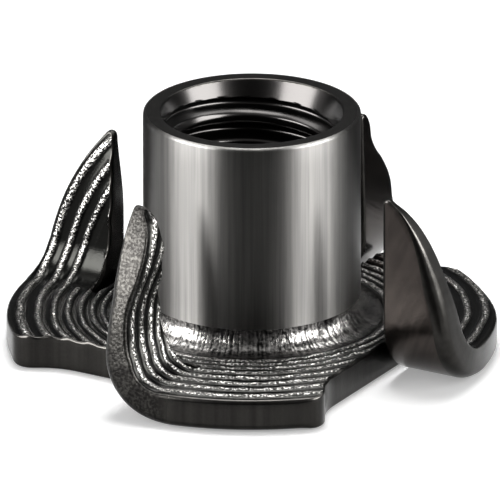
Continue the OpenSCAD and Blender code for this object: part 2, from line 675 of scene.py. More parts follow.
    @staticmethod
    def eased(values: Array) -> Array:
        """Blurs a closed row of values over a few neighbours each way."""
        kernel = np.array([1.0, 2.0, 3.0, 4.0, 3.0, 2.0, 1.0])
        kernel /= kernel.sum()
        pad = len(kernel) // 2
        return np.convolve(np.concatenate([values[-pad:], values, values[:pad]]), kernel, "valid")

    def gauge(self, number: int, v: Array) -> Array:
        """Thickness of a prong across the blank."""
        prong = self.prongs[number]
        return np.minimum(curve(self.sheet.below_tip(prong, v), prong.blade), self.sheet.thickness)

    def place(
        self,
        skin: Skin,
        number: int,
        folded: bool,
        spots: Array,
        h: Amount,
        relief: Amount = 0.0,
        grain: Amount = SMOOTH_GRAIN,
    ) -> Array:
        """Adds points of the blank to the skin where the press left them.

        Args:
            skin: The skin that they are added to.
            number: The prong whose frame they are in.
            folded: Whether they are on that prong, and not on the flange.
            spots: Rows of u and v.
            h: Height in the sheet.
            relief: How much of the lathe's ridges they take.
            grain: How granular the surface is there.

        Returns:
            The points' numbers.
        """
        flat = self.prongs[number].swap_frame(spots)
        if folded:
            points, up = self.sheet.fold(self.prongs[number], spots, h)
        else:
            points = np.column_stack([flat, np.broadcast_to(h, len(flat))])
            up = np.tile(UP, (len(flat), 1))
        return skin.add(points, up, flat, relief, grain)

    def ringed(self, patch: Patch, ring_step: float, along_step: float) -> Array:
        """Spreads points over a patch, on rings about the blank's axis.

        Args:
            patch: The patch.
            ring_step: Distance from ring to ring.
            along_step: Distance from point to point along a ring.

        Returns:
            Rows of u and v, clear of the patch's outline.
        """
        reach = np.hypot(*patch.hole.T).max() if len(patch.hole) else self.sheet.shear_u
        radii = np.arange(reach + self.first_ring * ring_step, self.sheet.rim_r, ring_step)
        spots = np.concatenate([
            on_circle(radius, round(2 * math.pi * radius / along_step), 0.5 * (turn % 2))
            for turn, radius in enumerate(radii)
        ])
        spots = spots[((spots > patch.loop.min(0)) & (spots < patch.loop.max(0))).all(1)]
        spots = spots[inside(spots, patch.loop)]
        return spots[nearest(spots, patch.loop) > self.edge_clearance * ring_step]

    def fill(self, skin: Skin, patch: Patch, top: bool) -> None:
        """Fills a patch of the blank's upper or lower face.

        Args:
            skin: The skin that the faces are added to.
            patch: The patch, whose outline is on the skin already.
            top: True for the upper face.
        """
        steps = (self.top_rings, self.top_along) if top else (self.under_step, self.under_step)
        spots = self.ringed(patch, *steps)
        clear = self.prongs[patch.number].rings_from if patch.folded else 0.0
        relief = float(top)
        if clear:
            relief = top * smoothstep((np.hypot(*spots.T) - clear) / self.rings_start)
        level = self.gauge(patch.number, spots[:, 1]) if patch.folded else self.sheet.thickness
        added = self.place(skin, patch.number, patch.folded, spots, level * top, relief)
        ids = np.concatenate([patch.ids, patch.hole_ids, added])
        faces = triangles(np.concatenate([patch.loop, patch.hole, spots]), len(patch.loop), len(patch.hole))
        skin.cover(ids[faces].tolist(), Zone.RINGS if top else Zone.PRESSED)

    def cover(
        self, skin: Skin, line: Outline, inset: Array, top: bool, edge_ids: Array, circle: float
    ) -> Array:
        """Fills one face of the blank: each prong up to its fold, and the flange round a middle circle.

        Args:
            skin: The skin that the face is added to.
            line: The outline.
            inset: How far inside the outline the face starts, at each of its points.
            top: True for the upper face.
            edge_ids: Numbers of the points that already lie along the face's edge.
            circle: Radius of the circle in the middle.

        Returns:
            The numbers of the points round the circle.
        """
        first, level = self.prongs[0], self.sheet.thickness * top
        edge = line.moved_in(inset)
        flange, flange_ids = [], []
        for number, prong in enumerate(self.prongs):
            mine = line.sector == number
            on_prong, on_lobe = np.flatnonzero(mine & line.folded), np.flatnonzero(mine & ~line.folded)
            rim, blind = on_prong[0], on_lobe[0]

            # The prong and the flange share a seam, from the rim to the blind end of the cut
            count = round(math.dist(edge[rim], edge[blind]) / self.top_along)
            seam = edge[rim] + (edge[blind] - edge[rim]) * np.linspace(0, 1, count + 1)[1:-1, None]
            seam_ids = self.place(skin, number, True, seam, level, float(top))
            outer = np.append(on_prong, blind)
            loop = np.concatenate([edge[outer], seam[::-1]])
            ids = np.append(edge_ids[outer], seam_ids[::-1])
            self.fill(skin, Patch(number, True, loop, ids), top)
            side = np.concatenate([edge[[rim]], seam, edge[on_lobe]])
            flange.append(first.swap_frame(prong.swap_frame(side)))
            flange_ids.append(np.concatenate([edge_ids[[rim]], seam_ids, edge_ids[on_lobe]]))
        hole = first.swap_frame(on_circle(circle, self.columns))
        hole_ids = self.place(skin, 0, False, hole, level)
        loop, ids = np.concatenate(flange), np.concatenate(flange_ids)
        self.fill(skin, Patch(0, False, loop, ids, hole, hole_ids), top)
        return hole_ids

    def edge_profile(self, line: Outline) -> list[tuple]:
        """The section of the sheet's edge, from its upper face to its lower one.

        Args:
            line: The outline.

        Returns:
            Steps, each as how far in it lies and how high at each point of the outline, and its relief.
        """
        edges, thick = self.edges, np.full(len(line.u), self.sheet.thickness)
        for number in range(len(self.prongs)):
            mine = line.folded & (line.sector == number)
            thick[mine] = self.gauge(number, line.v[mine])
        top_in = np.minimum(line.top, edges.top_in_share * thick)
        top_rise = np.minimum(line.top, edges.top_rise_share * thick)
        under_in = np.minimum(line.under, edges.under_in_share * thick)
        under_rise = np.minimum(edges.under_flattened * line.under, edges.under_rise_share * thick)
        steps = [(top_in * (1 - s), thick - top_rise * (1 - c), c) for s, c in quarter(4)]
        for share in (1 / 3, 2 / 3):
            steps.append((0.0 * thick, (thick - top_rise) * (1 - share) + under_rise * share, 0.0))
        return steps + [(under_in * (1 - c), under_rise * (1 - s), 0.0) for s, c in quarter(6)]

    def build(self, skin: Skin) -> tuple[Array, Array]:
        """Builds the sheet.

        Args:
            skin: The skin that it is added to.

        Returns:
            The points round the barrel's foot, and those round the bore's mouth underneath.
        """
        line = self.outline()
        steps = self.edge_profile(line)
        rows = []
        for inset, h, relief in steps:
            spots = line.moved_in(inset)
            ids = np.zeros(len(spots), int)
            for number in range(len(self.prongs)):
                for folded in (True, False):
                    mine = (line.sector == number) & (line.folded == folded)
                    grain = line.grain[mine]
                    ids[mine] = self.place(skin, number, folded, spots[mine], h[mine], relief, grain)
            rows.append(ids)
        for upper, lower in zip(rows[:-1], rows[1:]):
            skin.band(upper, lower, Zone.SHEARED)
        foot = self.cover(skin, line, steps[0][0], True, rows[0], self.sheet.foot_at)
        mouth = self.cover(skin, line, steps[-1][0], False, rows[-1], self.sheet.mouth_at)
        log.info("blank: %d points, %d faces", skin.count, len(skin.faces))
        return foot, mouth


def triangles(points: Array, loop: int, hole: int) -> Array:
    """Joins points into triangles inside a loop.

    Args:
        points: Rows of the loop's points, then the hole's, then the rest.
        loop: How many points the loop has.
        hole: How many the hole has, which is a circle about the origin.

    Returns:
        Rows of three point numbers.
    """
    wires = [(i, (i + 1) % loop) for i in range(loop)]
    wires += [(loop + i, loop + (i + 1) % hole) for i in range(hole)]
    made = delaunay_2d_cdt([Vector(p) for p in points], wires, [], ENCLOSED, SNAP, True)
    source = np.array([numbers[0] for numbers in made[3]])
    spots = np.array([(p.x, p.y) for p in made[0]])
    faces = np.array(made[2])
    middle = spots[faces].mean(1)
    (ax, ay), (bx, by) = ((spots[faces[:, k]] - spots[faces[:, 0]]).T for k in (1, 2))
    # Rounding leaves empty slivers along the straight seams, which aren't faces
    kept = inside(middle, points[:loop]) & (0.5 * np.abs(ax * by - ay * bx) > SLIVER)
    if hole:
        radius = np.hypot(*points[loop : loop + hole].T).max()
        kept &= np.hypot(*middle.T) > radius * math.cos(math.pi / hole)
    return source[faces[kept]]


def quarter(steps: int) -> list[Span]:
    """Sine and cosine at even steps over a quarter turn, with both its ends."""
    return [(math.sin(t), math.cos(t)) for t in np.linspace(0, math.pi / 2, steps + 1)]


def on_circle(radius: float, count: int, shift: float = 0.0) -> Array:
    """Points spread evenly round a circle about the axis, as rows of x and y."""
    angle = 2 * math.pi * (np.arange(count) + shift) / count
    return radius * np.stack([np.cos(angle), np.sin(angle)], 1)


def inside(points: Array, loop: Array) -> Array:
    """Whether each point lies inside a closed loop."""
    x, y = points[:, 0], points[:, 1]
    found = np.zeros(len(points), bool)
    for (x0, y0), (x1, y1) in zip(loop, np.roll(loop, -1, axis=0)):
        if y0 == y1:
            continue
        crosses = (y0 > y) != (y1 > y)
        found ^= crosses & (x < (x1 - x0) * (y - y0) / (y1 - y0) + x0)
    return found


def nearest(points: Array, loop: Array, at_once: int = 64) -> Array:
    """Distance from each point to the nearest point of a loop, a few of the loop's points at once."""
    best = np.full(len(points), np.inf)
    for start in range(0, len(loop), at_once):
        part = loop[start : start + at_once]
        gap = np.hypot(points[:, 0:1] - part[None, :, 0], points[:, 1:2] - part[None, :, 1])
        best = np.minimum(best, gap.min(1))
    return best


# ---------------------------------------------------------------------------------------
# The barrel and its bore
# ---------------------------------------------------------------------------------------


@dataclass(frozen=True)
class Barrel:
    """The drawn barrel: its foot, wall, lip and countersink, and the rounded mouth underneath."""

    sheet: Sheet
    outer_r: float = 4.87
    foot_r: float = 1.0
    lip_r: float = 0.15
    sink_r: float = 4.1
    bore_r: float = 3.4
    sink_depth: float = 1.5
    mouth_r: float = 0.9
    lip_inside: float = 0.08
    lip_flat: float = 0.25

    @property
    def sink_slope(self) -> float:
        """How fast the countersink widens towards the top."""
        return (self.sink_r - self.bore_r) / self.sink_depth

    def sink_start(self) -> Span:
        """Radius and height where the countersink leaves its rounded upper edge."""
        drop = self.lip_inside / math.hypot(self.sink_slope, 1.0)
        return self.sink_r - drop * self.sink_slope, self.sheet.height - drop

    def outside(self) -> list[tuple[float, float, Zone]]:
        """Radii and heights from the foot up to the countersink, with the zone below each."""
        top = self.sheet.height
        foot_z = self.sheet.thickness + self.foot_r
        foot_r, lip_r = self.foot_r, self.lip_r
        rows = [(self.sheet.foot_at - foot_r * s, foot_z - foot_r * c, Zone.FOOT) for s, c in quarter(12)[1:]]
        rows += [(self.outer_r, float(z), Zone.BARREL) for z in np.linspace(foot_z, top - lip_r, 10)[1:]]
        for s, c in quarter(6)[1:]:
            rows.append((self.outer_r - lip_r * (1 - c), top - lip_r * (1 - s), Zone.BARREL))
        edge = self.sink_r + self.lip_inside
        rows += [(edge + self.lip_flat, top, Zone.SHEARED), (edge, top, Zone.SHEARED)]
        end_r, end_z = self.sink_start()
        for t in (0.25, 0.5, 0.75):
            r = (1 - t) ** 2 * edge + 2 * t * (1 - t) * self.sink_r + t * t * end_r
            z = (1 - t) ** 2 * top + 2 * t * (1 - t) * top + t * t * end_z
            rows.append((r, z, Zone.SHEARED))
        rows.append((end_r, end_z, Zone.SHEARED))
        return rows

    def underneath(self) -> list[tuple[float, float, Zone]]:
        """Radii and heights from the mouth underneath up into the bore."""
        start, r = self.sheet.mouth_at, self.mouth_r
        return [(start - r * s, r * (1 - c), Zone.PRESSED) for s, c in quarter(8)[1:]]

    def sweep(self, skin: Skin, start: Array, rows: list[tuple[float, float, Zone]]) -> None:
        """Turns a section about the axis, on from a circle of points that is already there."""
        count, before = len(start), start
        for r, z, zone in rows:
            spots = on_circle(r, count)
            points = np.column_stack([spots, np.full(count, z)])
            ids = skin.add(points, np.tile(UP, (count, 1)), spots, 0.0, SMOOTH_GRAIN)
            skin.band(before, ids, zone)
            before = ids

    def build(self, skin: Skin, foot: Array, mouth: Array) -> None:
        """Adds the barrel to the skin, on from the circles round its foot and its mouth."""
        self.sweep(skin, foot, self.outside())
        self.sweep(skin, mouth, self.underneath())
        log.info("barrel: %.2f mm across, %.2f mm high", 2 * self.outer_r, self.sheet.height)


@dataclass(frozen=True)
class TappedBore:
    """The bore's wall with its M8 thread, made by geometry nodes from the thread's own rule."""

    barrel: Barrel
    columns: int
    pitch: float = 1.25
    root_r: float = 4.0
    phase: float = 0.19
    run_out: float = 0.8
    row_step: float = 0.05
    crest_ends: float = 0.09
    root_starts: float = 0.46
    closing_gap: float = 0.001

    def values(self, material: Material) -> dict:
        """What the tree takes, by name and in metres."""
        barrel = self.barrel
        top_z = barrel.sink_start()[1]
        return {
            "Columns": self.columns,
            "Rows": round((top_z - barrel.mouth_r) / self.row_step),
            "Crest Radius": barrel.bore_r * MM,
            "Root Radius": self.root_r * MM,
            "Pitch": self.pitch * MM,
            "Bottom": barrel.mouth_r * MM,
            "Top": top_z * MM,
            "Run Out": self.run_out * MM,
            "Sink Radius": barrel.sink_r * MM,
            "Sink Slope": barrel.sink_slope,
            "Height": barrel.sheet.height * MM,
            "Phase": self.phase,
            "Material": material,
        }

    def tree(self, values: dict) -> Tree:
        """Builds the node tree, which bends a plain grid round the axis and cuts the thread into it."""
        tree, given = start_tree("tapped_bore", values)
        columns, rows = (maths(tree, given[name], ("ADD", 1.0)) for name in ("Columns", "Rows"))
        grid = add_node(tree, "GeometryNodeMeshGrid", None,
                        {"Size X": 1.0, "Size Y": 1.0, "Vertices X": columns, "Vertices Y": rows}).outputs[0]
        place = add_node(tree, "GeometryNodeInputPosition").outputs[0]
        spot = add_node(tree, "ShaderNodeSeparateXYZ", None, {0: place}).outputs
        turn, rise = (maths(tree, spot[axis], ("ADD", 0.5)) for axis in (0, 1))
        angle = maths(tree, turn, ("MULTIPLY", 2 * math.pi))
        z = ranged(tree, rise, target=(given["Bottom"], given["Top"]))

        # The crest is wider than the root, as on any metric nut, and the tap has eased both into the flank
        helix = maths(tree, z, ("DIVIDE", given["Pitch"]), ("SUBTRACT", turn), ("ADD", given["Phase"]),
                      ("FRACT", None), ("SUBTRACT", 0.5), ("ABSOLUTE", None))
        flank = ranged(tree, helix, (self.crest_ends, self.root_starts), kind="SMOOTHSTEP")
        above = maths(tree, z, ("SUBTRACT", given["Bottom"]), ("DIVIDE", given["Run Out"]))
        fade = ranged(tree, above, kind="SMOOTHSTEP")
        deep = maths(tree, given["Root Radius"], ("SUBTRACT", given["Crest Radius"]),
                     ("MULTIPLY", flank), ("MULTIPLY", fade), ("ADD", given["Crest Radius"]))
        below = maths(tree, given["Height"], ("SUBTRACT", z), ("MULTIPLY", given["Sink Slope"]))
        sink = maths(tree, given["Sink Radius"], ("SUBTRACT", below))
        radius = maths(tree, deep, ("MAXIMUM", sink))

        across = maths(tree, angle, ("COSINE", None), ("MULTIPLY", radius))
        along = maths(tree, angle, ("SINE", None), ("MULTIPLY", radius))
        bent = add_node(tree, "ShaderNodeCombineXYZ", None, {0: across, 1: along, 2: z}).outputs[0]
        moved = add_node(tree, "GeometryNodeSetPosition", None, {"Geometry": grid, "Position": bent})
        closed = add_node(tree, "GeometryNodeMergeByDistance", None,
                          {"Geometry": moved.outputs[0], "Distance": self.closing_gap * MM})
        real = add_node(tree, "GeometryNodeRealizeInstances", None, {0: closed.outputs[0]}).outputs[0]
        dressed = add_node(tree, "GeometryNodeSetMaterial", None,
                           {"Geometry": real, "Material": given["Material"]})
        add_node(tree, "NodeGroupOutput", None, {0: dressed.outputs[0]})
        return tree

    def build(self, material: Material) -> Mesh:
        """Builds the bore's wall.

        Args:
            material: The finish that it takes.

        Returns:
            Its mesh, in metres.
        """
        values = self.values(material)
        mesh = run_tree(self.tree(values), bpy.data.meshes.new("tapped_bore"), values)
        log.info("tapped bore: %d faces", len(mesh.polygons))
        return mesh


@dataclass(frozen=True)
class TurnedRings:
    """The lathe's ridges, raised out of the sheet by geometry nodes wherever the blank's rings run.

    Ring n lies at first_r + step * n + growth * n^2 from the axis, in millimetres.
    """

    first_r: float = 6.3
    step: float = 0.351
    growth: float = 0.0345
    last_r: float = 10.62
    depth: float = 0.11
    half_width: float = 0.36
    crest: float = 0.06
    starts: Span = (5.9, 6.25)
    gone_r: float = 10.95
    wander: float = 0.28
    wander_scale: float = 0.35
    uneven_scale: float = 1.6
    uneven_span: Span = (0.3, 0.7)
    uneven_share: Span = (0.6, 1.15)
    torn_scale: float = 3.4
    torn: float = 0.9
    seed: float = 7.0

    def values(self, finishes: dict[Zone, Material]) -> dict:
        """What the tree takes, by name."""
        return {
            "First Radius": self.first_r,
            "Step": self.step,
            "Growth": self.growth,
            "Last Radius": self.last_r,
            "Half Width": self.half_width,
            "Depth": self.depth * MM,
            "Seed": self.seed,
            **{zone.name: material for zone, material in finishes.items()},
        }

    def tree(self, values: dict) -> Tree:
        """Builds the node tree, which reads each point's place on the flat blank."""
        tree, given = start_tree("turned_rings", values, takes_mesh=True)

        def read(name: str, kind: str) -> Socket:
            """Reads one of the skin's attributes."""
            node = add_node(tree, "GeometryNodeInputNamedAttribute", {"data_type": kind}, {"Name": name})
            return node.outputs[0]

        blank, up = read("blank", "FLOAT_VECTOR"), read("sheet_up", "FLOAT_VECTOR")
        radius = add_node(tree, "ShaderNodeVectorMath", {"operation": "LENGTH"}, {0: blank}).outputs["Value"]

        # Slow noise lets each ring wander a little off its circle, as a worn tool does
        slow = noise(tree, blank, self.wander_scale, 1.0, given["Seed"])
        drift = maths(tree, slow, ("SUBTRACT", 0.5), ("MULTIPLY", self.wander))
        past = maths(tree, radius, ("ADD", drift), ("SUBTRACT", given["First Radius"]), ("MAXIMUM", 0.0))
        square = maths(tree, given["Step"], ("MULTIPLY", given["Step"]))
        double = maths(tree, given["Growth"], ("MULTIPLY", 2.0))
        ring = maths(tree, given["Growth"], ("MULTIPLY", 4.0), ("MULTIPLY", past), ("ADD", square),
                     ("SQRT", None), ("SUBTRACT", given["Step"]), ("DIVIDE", double))
        off = maths(tree, ring, ("ADD", 0.5), ("FRACT", None), ("SUBTRACT", 0.5), ("ABSOLUTE", None))
        ridge = ranged(tree, off, (given["Half Width"], self.crest), kind="SMOOTHSTEP")
        inner = ranged(tree, radius, self.starts, kind="SMOOTHSTEP")
        outer = ranged(tree, radius, (given["Last Radius"], self.gone_r), (1.0, 0.0), "SMOOTHSTEP")
        relief = read("relief", "FLOAT")
        raised = maths(tree, ridge, ("MULTIPLY", inner), ("MULTIPLY", outer), ("MULTIPLY", relief))

        # The ridges are uneven along their length, and their tops are torn a little
        broad = noise(tree, blank, self.uneven_scale, 2.0, given["Seed"])
        uneven = ranged(tree, broad, self.uneven_span, self.uneven_share)
        height = maths(tree, raised, ("MULTIPLY", uneven), ("MULTIPLY", given["Depth"]))
        fine = maths(tree, noise(tree, blank, self.torn_scale, 2.0, given["Seed"]), ("SUBTRACT", 0.5),
                     ("MULTIPLY", raised), ("MULTIPLY", given["Depth"]), ("MULTIPLY", self.torn))
        total = maths(tree, height, ("ADD", fine))
        offset = add_node(tree, "ShaderNodeVectorMath", {"operation": "SCALE"}, {0: up, "Scale": total})
        moved = add_node(tree, "GeometryNodeSetPosition", None,
                         {"Geometry": given["Geometry"], "Offset": offset.outputs[0]})
        kept = add_node(tree, "GeometryNodeStoreNamedAttribute", {"data_type": "FLOAT", "domain": "POINT"},
                        {"Geometry": moved.outputs[0], "Name": "ridge", "Value": raised})
        shape = add_node(tree, "GeometryNodeRealizeInstances", None, {0: kept.outputs[0]}).outputs[0]
        zone_of = read("zone", "INT")
        for zone in Zone:
            same = add_node(tree, "FunctionNodeCompare", {"data_type": "INT", "operation": "EQUAL"},
                            {2: zone_of, 3: zone.value}).outputs[0]
            shape = add_node(tree, "GeometryNodeSetMaterial", None,
                             {"Geometry": shape, "Selection": same, "Material": given[zone.name]}).outputs[0]
        add_node(tree, "NodeGroupOutput", None, {0: shape})
        return tree

    def build(self, mesh: Mesh, finishes: dict[Zone, Material]) -> Mesh:
        """Raises the rings on a mesh and gives each zone its finish.

        Args:
            mesh: The skin, in metres, with its point attributes.
            finishes: The finish of each zone.

        Returns:
            The finished mesh.
        """
        values = self.values(finishes)
        return run_tree(self.tree(values), mesh, values)


# ---------------------------------------------------------------------------------------
# Finishes
# ---------------------------------------------------------------------------------------


@dataclass(frozen=True)
class BlackNickel:
    """Black nickel plate over steel: a dark, neutral mirror whose tone the metal's own colour gives."""

    name: str
    low: str
    high: str
    roughness: float

    def surface(self, tree: Tree) -> dict:
        """What a finish gives its shader, by the name of the input."""
        raise NotImplementedError

    def build(self) -> Material:
        """Makes the material."""
        material, tree = new_material(self.name)
        add_shader(tree, {"Metallic": 1.0, "Roughness": self.roughness, **self.surface(tree)})
        return material

    @staticmethod
    def mixed(tree: Tree, share: Value, first: Socket | tuple, second: Socket | tuple) -> Socket:
        """Mixes two colours."""
        inputs = {0: share, 6: first, 7: second}
        return add_node(tree, "ShaderNodeMix", {"data_type": "RGBA"}, inputs).outputs[2]

    def tint(self, tree: Tree, share: Value) -> Socket:
        """A colour between the plate's dark and light tones."""
        return self.mixed(tree, share, linear_colour(self.low), linear_colour(self.high))

    def rough(self, tree: Tree, share: Value, less: float, more: float) -> Socket:
        """The plate's roughness, from a little less to a little more than its own."""
        return ranged(tree, share, target=(self.roughness - less, self.roughness + more))

    @staticmethod
    def bumped(tree: Tree, height: Socket, depth_mm: float, strength: float = 1.0) -> Socket:
        """A normal that follows a height of this many millimetres."""
        inputs = {"Strength": strength, "Distance": depth_mm * MM, "Height": height}
        return add_node(tree, "ShaderNodeBump", None, inputs).outputs[0]

    @staticmethod
    def scaled(tree: Tree, vector: Socket, scale: tuple) -> Socket:
        """A place scaled along each axis: below 1, what is read there is drawn out along that axis."""
        return add_node(tree, "ShaderNodeMapping", None, {"Vector": vector, "Scale": scale}).outputs[0]

    @staticmethod
    def read(tree: Tree, name: str) -> Socket:
        """One of the skin's attributes: a vector on the blank, or a number."""
        node = add_node(tree, "ShaderNodeAttribute", {"attribute_name": name})
        return node.outputs["Vector" if name == "blank" else "Fac"]

    @staticmethod
    def place(tree: Tree) -> Socket:
        """The place on the object, in metres."""
        return add_node(tree, "ShaderNodeTexCoord").outputs["Object"]


@dataclass(frozen=True)
class TurnedPlate(BlackNickel):
    """Plated lathe rings: grit stands on the ridges; the colour is painted light on the ridge tops as painted
    glints and dark in the grooves as painted shade.
    """

    grit_mm: float = 0.1
    grit_depth: float = 0.035
    groove_grit: float = 0.22
    sharpness: Span = (0.5, 0.6)
    ridge_power: float = 3.0
    ridge_rough: float = 0.16
    glint_patch_scale: float = 1.3
    glint_patch_span: Span = (0.35, 0.62)
    dimmest_glint_patch: float = 0.45

    def surface(self, tree: Tree) -> dict:
        """What the finish gives its shader."""
        blank, ridge = self.read(tree, "blank"), self.read(tree, "ridge")
        grit = noise(tree, blank, 1.0 / self.grit_mm, 2.5, roughness=0.65)
        # Painted glints and shade: light where the grit stands high on a ridge top, patchy along the rings,
        # and dark in the grooves
        sharp = ranged(tree, grit, self.sharpness)
        glint_patches = ranged(tree, noise(tree, blank, self.glint_patch_scale), self.glint_patch_span, (self.dimmest_glint_patch, 1.0))
        painted_glint = maths(tree, ridge, ("POWER", self.ridge_power), ("MULTIPLY", glint_patches), ("MULTIPLY", sharp))
        height = maths(tree, grit, ("MULTIPLY", ranged(tree, ridge, target=(self.groove_grit, 1.0))))
        return {
            "Base Color": self.tint(tree, painted_glint),
            "Roughness": self.rough(tree, ridge, 0.0, self.ridge_rough),
            "Normal": self.bumped(tree, height, self.grit_depth),
        }


@dataclass(frozen=True)
class ShearedPlate(BlackNickel):
    """Plated shear faces: the shears drew them smooth, with faint streaks through the thickness, and the low
    spots of their grit are painted dark as painted shade.
    """

    streak_mm: float = 0.35
    grit_mm: float = 0.12
    grit_depth: float = 0.03
    grit_rough: float = 0.2
    shaded_grit_span: Span = (0.44, 0.6)
    darkest_painted_shade: float = 0.75

    def surface(self, tree: Tree) -> dict:
        """What the finish gives its shader."""
        blank, grain = self.read(tree, "blank"), self.read(tree, "grain")
        streak = ranged(tree, noise(tree, blank, 1.0 / self.streak_mm, 3.0), (0.3, 0.7))
        grit = noise(tree, self.place(tree), 1.0 / (self.grit_mm * MM))
        # Painted shade: the colour goes towards black where the grit's bump is low, the more so on granular
        # faces
        painted_hollow_shade = maths(tree, ranged(tree, grit, self.shaded_grit_span, (self.darkest_painted_shade, 0.0)), ("MULTIPLY", grain))
        return {
            "Base Color": self.mixed(tree, painted_hollow_shade, self.tint(tree, streak), (0.0, 0.0, 0.0, 1.0)),
            "Roughness": self.rough(tree, grain, 0.0, self.grit_rough),
            "Normal": self.bumped(tree, maths(tree, grit, ("MULTIPLY", grain)), self.grit_depth),
        }


@dataclass(frozen=True)
class PressedPlate(BlackNickel):
    """Plated sheet as it came from the die: smooth, a little warm, with faint rolling streaks."""

    streak_mm: float = 0.3
    streak_depth: float = 0.01
    drawn_out: float = 0.12
    cloud_mm: float = 2.5

    def surface(self, tree: Tree) -> dict:
        """What the finish gives its shader."""
        blank = self.read(tree, "blank")
        rolled = self.scaled(tree, blank, (1.0, self.drawn_out, 1.0))
        streak = noise(tree, rolled, 1.0 / self.streak_mm, 4.0)
        both = maths(tree, streak, ("ADD", noise(tree, blank, 1.0 / self.cloud_mm)), ("MULTIPLY", 0.5))
        return {
            "Base Color": self.tint(tree, ranged(tree, both, (0.4, 0.62))),
            "Roughness": self.rough(tree, streak, 0.05, 0.08),
            "Normal": self.bumped(tree, streak, self.streak_depth, 0.5),
        }


@dataclass(frozen=True)
class DrawnPlate(BlackNickel):
    """Plated barrel, polished round its axis: lights stretch up and down it into upright bands."""

    stretch: float = 0.9
    rotation: float = 0.25
    streak_mm: float = 0.16
    drawn_out: float = 0.02
    streak_rough: float = 0.02

    def surface(self, tree: Tree) -> dict:
        """What the finish gives its shader."""
        spot = self.place(tree)
        round_axis = vector_maths(tree, "NORMALIZE", vector_maths(tree, "CROSS_PRODUCT", UP, spot))
        tangent = add_node(tree, "ShaderNodeVectorTransform",
                           {"vector_type": "VECTOR", "convert_from": "OBJECT", "convert_to": "WORLD"},
                           {0: round_axis}).outputs[0]
        upright = self.scaled(tree, spot, (1.0, 1.0, self.drawn_out))
        streak = noise(tree, upright, 1.0 / (self.streak_mm * MM), 3.0)
        return {
            "Anisotropic": self.stretch,
            "Anisotropic Rotation": self.rotation,
            "Tangent": tangent,
            "Base Color": self.tint(tree, ranged(tree, streak, (0.32, 0.68))),
            "Roughness": self.rough(tree, streak, self.streak_rough, self.streak_rough),
        }


@dataclass(frozen=True)
class FootPlate(BlackNickel):
    """Plated fillet at the barrel's foot: the die scored it radially, and its colour runs dark and light in
    short strokes, partly the scores' own tone and partly painted glints.
    """

    score_mm: float = 0.13
    grit_mm: float = 0.14
    score_depth: float = 0.03
    middle_r: float = 5.3

    def surface(self, tree: Tree) -> dict:
        """What the finish gives its shader."""
        spot = self.place(tree)
        # Read on the unit circle, so that the scores run out from the axis
        ray = vector_maths(tree, "NORMALIZE", vector_maths(tree, "MULTIPLY", spot, (1.0, 1.0, 0.0)))
        score = noise(tree, ray, self.middle_r / self.score_mm)
        grit = noise(tree, spot, 1.0 / (self.grit_mm * MM))
        # The strokes' light and dark tone is partly the scores' own and partly painted glints and shade
        both = maths(tree, score, ("ADD", grit), ("MULTIPLY", 0.5))
        return {
            "Base Color": self.tint(tree, ranged(tree, both, (0.4, 0.6))),
            "Normal": self.bumped(tree, both, self.score_depth),
        }


# ---------------------------------------------------------------------------------------
# The nut
# ---------------------------------------------------------------------------------------


@dataclass(frozen=True)
class TeeNut:
    """The whole nut: one closed skin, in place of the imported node."""

    blank: Blank
    barrel: Barrel
    bore: TappedBore
    rings: TurnedRings
    weld_gap: float = 0.002
    sharp_angle: float = 46.0

    def dress(self) -> dict[Zone, Material]:
        """Makes the finish of each zone."""
        return {
            # The rings' colours paint glints on the ridge tops and shade in the grooves
            Zone.RINGS: TurnedPlate("black_nickel_turned", "#121211", "#dcd9d5", 0.2).build(),
            # The shear faces' grit hollows are darkened as painted shade
            Zone.SHEARED: ShearedPlate("black_nickel_sheared", "#222120", "#2f2e2c", 0.24).build(),
            Zone.PRESSED: PressedPlate("black_nickel_pressed", "#332f2d", "#413c39", 0.2).build(),
            Zone.BARREL: DrawnPlate("black_nickel_drawn", "#494847", "#565553", 0.4).build(),
            # The foot's light strokes are partly painted glints
            Zone.FOOT: FootPlate("black_nickel_foot", "#161615", "#7d7b79", 0.24).build(),
            Zone.THREAD: ShearedPlate("black_nickel_tapped", "#1c1b1b", "#2e2d2c", 0.22).build(),
        }

    def weld(self, parts: list[Mesh], materials: list[Material]) -> Mesh:
        """Joins meshes into one closed skin.

        Args:
            parts: The meshes, whose open edges meet.
            materials: The materials of the skin, in order.

        Returns:
            The skin, with its faces pointing outwards.
        """
        work = bmesh.new()
        order = {material.name: number for number, material in enumerate(materials)}
        for part in parts:
            slots = [order.get(material.name, 0) if material else 0 for material in part.materials]
            before = len(work.faces)
            work.from_mesh(part)
            work.faces.ensure_lookup_table()
            for face in work.faces[before:]:
                face.material_index = slots[face.material_index]
        bmesh.ops.remove_doubles(work, verts=work.verts, dist=self.weld_gap * MM)
        bmesh.ops.recalc_face_normals(work, faces=work.faces)
        loose = [edge for edge in work.edges if not edge.is_manifold]
        log.info("skin: %d faces, %d open or doubled edges", len(work.faces), len(loose))
        mesh = bpy.data.meshes.new("tee_nut_skin")
        work.to_mesh(mesh)
        work.free()
        for material in materials:
            mesh.materials.append(material)
        mesh.shade_smooth()
        mesh.set_sharp_from_angle(angle=math.radians(self.sharp_angle))
        return mesh

    def build(self) -> bpy.types.Object:
        """Builds the nut.

        Returns:
            Its object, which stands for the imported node.
        """
        skin = Skin()
        foot, mouth = self.blank.build(skin)
        self.barrel.build(skin, foot, mouth)
        finishes = self.dress()
        body = self.rings.build(skin.mesh(), finishes)
        bore = self.bore.build(finishes[Zone.THREAD])
        mesh = self.weld([body, bore], list(finishes.values()))
        nut = add_object("tee_nut_plated", mesh)
        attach(nut, "root")
        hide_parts(NODE)
        mesh.calc_loop_triangles()
        log.info("%s: %d triangles", nut.name, len(mesh.loop_triangles))
        return nut


# ---------------------------------------------------------------------------------------
# The studio
# ---------------------------------------------------------------------------------------


